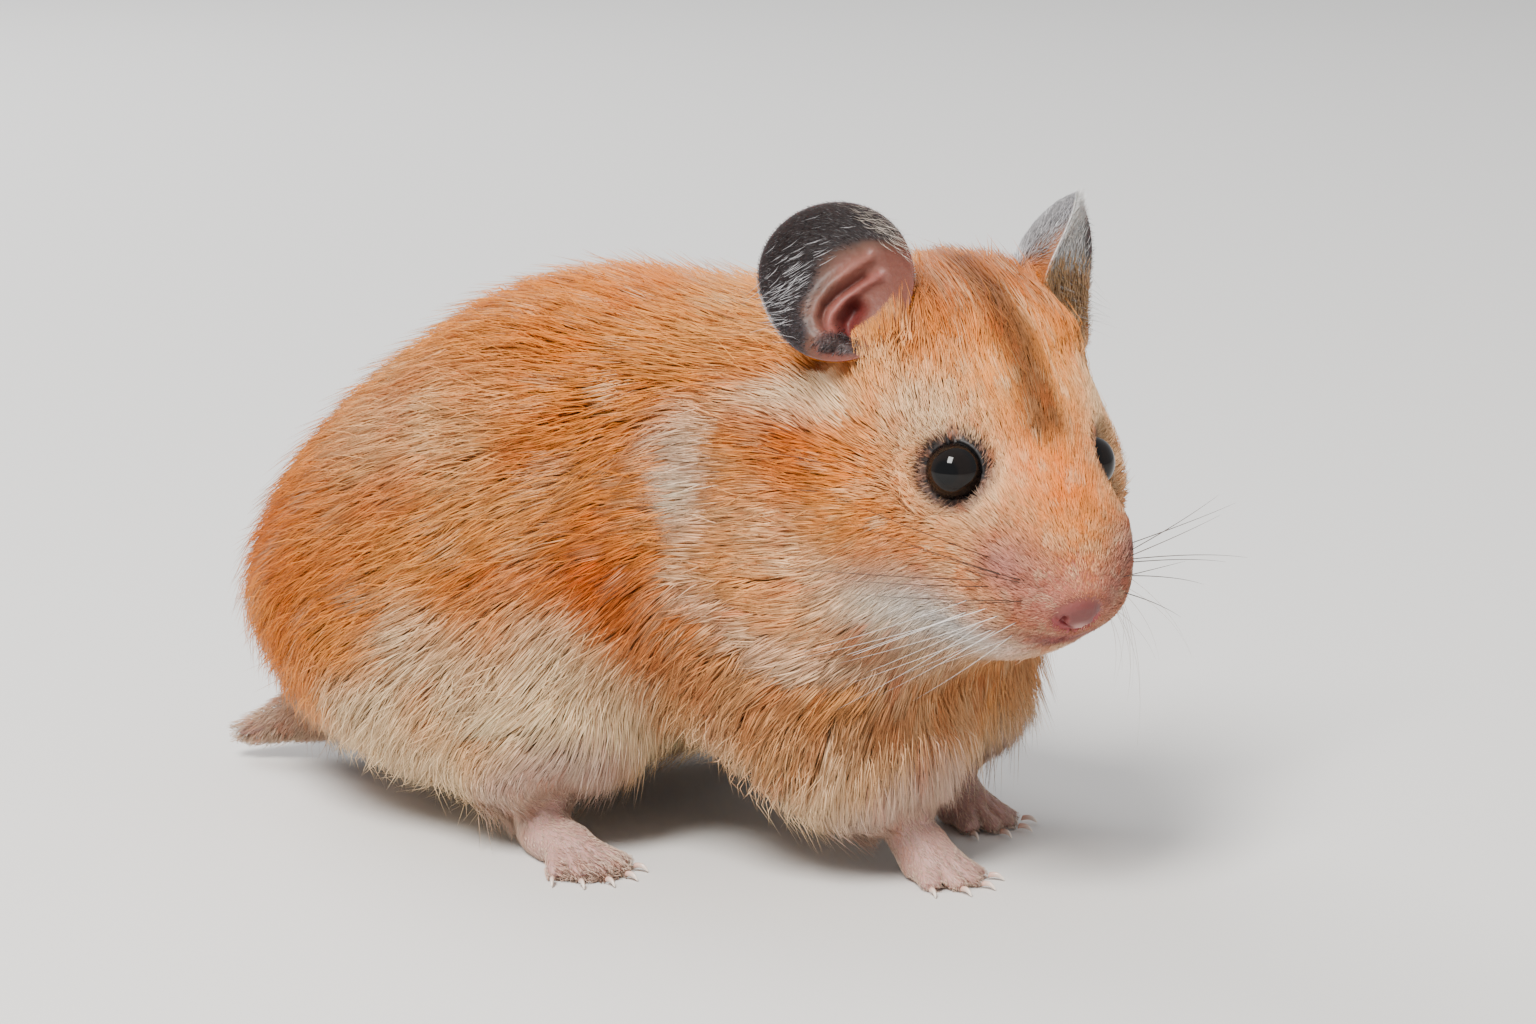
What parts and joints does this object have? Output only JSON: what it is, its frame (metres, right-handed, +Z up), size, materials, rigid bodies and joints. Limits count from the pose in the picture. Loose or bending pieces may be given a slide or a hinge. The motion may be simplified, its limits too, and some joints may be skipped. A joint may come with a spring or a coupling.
{
  "type": "syrian hamster",
  "caption": "Life-size crouching Syrian hamster, head turned to its right, as a still museum-style model standing on its own feet.",
  "frame": {"origin": "on the floor, under the middle of the animal's bounding box", "axes": "+X towards the head end, +Y to the animal's left, +Z up"},
  "size_m": [0.1148, 0.0642, 0.0722],
  "materials": {
    "coat": "long soft golden-orange fur with cream cheeks, flanks and belly",
    "bare_skin": "pink skin of the feet and tail under sparse short whitish hair",
    "ear": "thin dark grey skin with a pinkish inner fold and fine silvery down",
    "nose": "moist pink skin, slightly glossy",
    "eye": "polished black, wet and glossy",
    "claw": "translucent horn, pale and smooth"
  },
  "bodies": {
    "root": {"head": "coat", "nose": "nose", "eye_right": "eye", "eye_left": "eye", "neck": "coat", "trunk": "coat", "tail": "bare_skin", "foreleg_right": "coat", "forefoot_right": "bare_skin", "claw_forefoot_right_1": "claw", "claw_forefoot_right_2": "claw", "claw_forefoot_right_3": "claw", "claw_forefoot_right_4": "claw", "foreleg_left": "coat", "forefoot_left": "bare_skin", "claw_forefoot_left_1": "claw", "claw_forefoot_left_2": "claw", "claw_forefoot_left_3": "claw", "claw_forefoot_left_4": "claw", "hindleg_right": "coat", "hindfoot_right": "bare_skin", "claw_hindfoot_right_1": "claw", "claw_hindfoot_right_2": "claw", "claw_hindfoot_right_3": "claw", "claw_hindfoot_right_4": "claw", "claw_hindfoot_right_5": "claw", "hindleg_left": "coat", "hindfoot_left": "bare_skin", "claw_hindfoot_left_1": "claw", "claw_hindfoot_left_2": "claw", "claw_hindfoot_left_3": "claw", "claw_hindfoot_left_4": "claw", "claw_hindfoot_left_5": "claw", "ear_right": "ear", "ear_left": "ear"}
  },
  "joints": []
}
